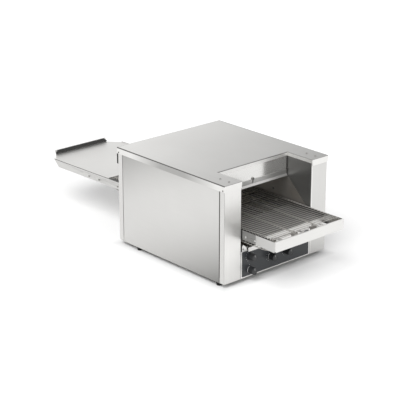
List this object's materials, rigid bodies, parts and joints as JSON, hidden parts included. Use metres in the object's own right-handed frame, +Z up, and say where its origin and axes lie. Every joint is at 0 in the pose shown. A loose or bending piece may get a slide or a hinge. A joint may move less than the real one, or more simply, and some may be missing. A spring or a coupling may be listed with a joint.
{
  "type": "conveyor sandwich oven",
  "caption": "Countertop conveyor oven: a steel body with a wire belt through its open-ended heating tunnel, front knobs, a slide-out crumb tray and a long exit tray.",
  "frame": {"origin": "centre of the footprint of the whole object, on the counter under the feet", "axes": "+Y along the belt towards the exit tray, +Z up, +X to the right seen from the controls, which face -Y"},
  "size_m": [0.54, 1.3899, 0.4039],
  "materials": {
    "sheet_steel": "brushed",
    "oven_steel": "heat-tinted satin",
    "wire_steel": "drawn wire",
    "machined_steel": "machined",
    "element_steel": "oxidised",
    "black_rubber": "matte",
    "grey_rubber": "ribbed, matte",
    "black_plastic": "satin",
    "overlay_film": "fine texture",
    "white_print": "printed",
    "ceramic": "glazed",
    "mineral_wool": "fibrous",
    "bearing_bronze": "sintered"
  },
  "bodies": {
    "oven_body": {"base_pan": "sheet_steel", "feet": "black_rubber", "left_side_panel": "sheet_steel", "right_side_panel": "sheet_steel", "front_left_pillar": "sheet_steel", "front_right_pillar": "sheet_steel", "rear_left_post": "sheet_steel", "rear_right_post": "sheet_steel", "top_cover": "sheet_steel", "casing_screws": "machined_steel", "front_hood_panel": "sheet_steel", "rear_hood_panel": "sheet_steel", "chamber_left_wall": "oven_steel", "chamber_right_wall": "oven_steel", "chamber_roof": "oven_steel", "chamber_shelf": "oven_steel", "inner_walls": "oven_steel", "insulation": "mineral_wool", "upper_heaters": "element_steel", "lower_heaters": "element_steel", "heater_bushes": "ceramic", "heater_hangers": "oven_steel", "front_fascia": "sheet_steel", "control_overlay": "overlay_film", "dial_marks": "white_print", "rotary_controls": "black_plastic", "tray_guides": "sheet_steel", "left_rail": "sheet_steel", "right_rail": "sheet_steel", "front_end_plate": "sheet_steel", "rear_end_plate": "sheet_steel", "infeed_pan": "sheet_steel", "cross_ties": "machined_steel", "shaft_bushes": "bearing_bronze", "belt": "wire_steel", "drive_chain": "machined_steel", "gear_motor": "machined_steel", "conveyor_screws": "machined_steel", "exit_tray": "sheet_steel", "tray_brackets": "sheet_steel", "end_stop": "grey_rubber", "rear_lower_panel": "sheet_steel", "fan_guard": "wire_steel", "fan_frame": "black_plastic", "cable_gland": "black_plastic", "terminal_block": "ceramic", "rear_bumpers": "black_rubber"},
    "upper_heat_dial": {"upper_heat_knob": "black_plastic"},
    "lower_heat_dial": {"lower_heat_knob": "black_plastic"},
    "belt_speed_dial": {"belt_speed_knob": "black_plastic"},
    "power_dial": {"power_knob": "black_plastic"},
    "crumb_drawer": {"crumb_tray": "sheet_steel"},
    "front_heat_baffle": {"front_baffle": "sheet_steel"},
    "rear_heat_baffle": {"rear_baffle": "sheet_steel"},
    "fan_wheel": {"fan_rotor": "black_plastic"},
    "drive_wheels": {"drive_shaft": "machined_steel", "drive_sprockets": "machined_steel"},
    "idler_wheels": {"idler_shaft": "machined_steel", "idler_sprockets": "machined_steel"},
    "motor_output": {"motor_sprocket": "machined_steel"}
  },
  "joints": [
    {"name": "upper_heat_turn", "type": "hinge", "parent": "oven_body", "child": "upper_heat_dial", "pos_m": [-0.13837, -0.52028, 0.09746], "axis": [0, 1, 0], "range_deg": [0, 300]},
    {"name": "lower_heat_turn", "type": "hinge", "parent": "oven_body", "child": "lower_heat_dial", "pos_m": [0.05166, -0.52028, 0.06948], "axis": [0, 1, 0], "range_deg": [0, 300]},
    {"name": "belt_speed_turn", "type": "hinge", "parent": "oven_body", "child": "belt_speed_dial", "pos_m": [-0.03136, -0.52028, 0.06948], "axis": [0, 1, 0], "range_deg": [0, 300]},
    {"name": "power_turn", "type": "hinge", "parent": "oven_body", "child": "power_dial", "pos_m": [-0.13837, -0.52028, 0.04403], "axis": [0, 1, 0], "range_deg": [0, 90]},
    {"name": "crumb_tray_slide", "type": "slide", "parent": "oven_body", "child": "crumb_drawer", "axis": [0, -1, 0], "range_m": [0, 0.45]},
    {"name": "front_baffle_slide", "type": "slide", "parent": "oven_body", "child": "front_heat_baffle", "axis": [0, 0, 1], "range_m": [0, 0.014]},
    {"name": "rear_baffle_slide", "type": "slide", "parent": "oven_body", "child": "rear_heat_baffle", "axis": [0, 0, 1], "range_m": [0, 0.014]},
    {"name": "fan_spin", "type": "hinge", "parent": "oven_body", "child": "fan_wheel", "pos_m": [-0.10332, 0.07772, 0.077], "axis": [0, 1, 0], "continuous": true},
    {"name": "drive_spin", "type": "hinge", "parent": "oven_body", "child": "drive_wheels", "pos_m": [0, 0.23862, 0.1936], "axis": [-1, 0, 0], "continuous": true},
    {"name": "idler_spin", "type": "hinge", "parent": "oven_body", "child": "idler_wheels", "pos_m": [0, -0.66618, 0.1936], "axis": [-1, 0, 0], "continuous": true},
    {"name": "motor_spin", "type": "hinge", "parent": "oven_body", "child": "motor_output", "pos_m": [0.18, 0.03062, 0.1936], "axis": [-1, 0, 0], "continuous": true}
  ],
  "couplings": [
    {"joint": "idler_spin", "follows": "drive_spin", "ratio": 1},
    {"joint": "motor_spin", "follows": "drive_spin", "ratio": 1}
  ]
}
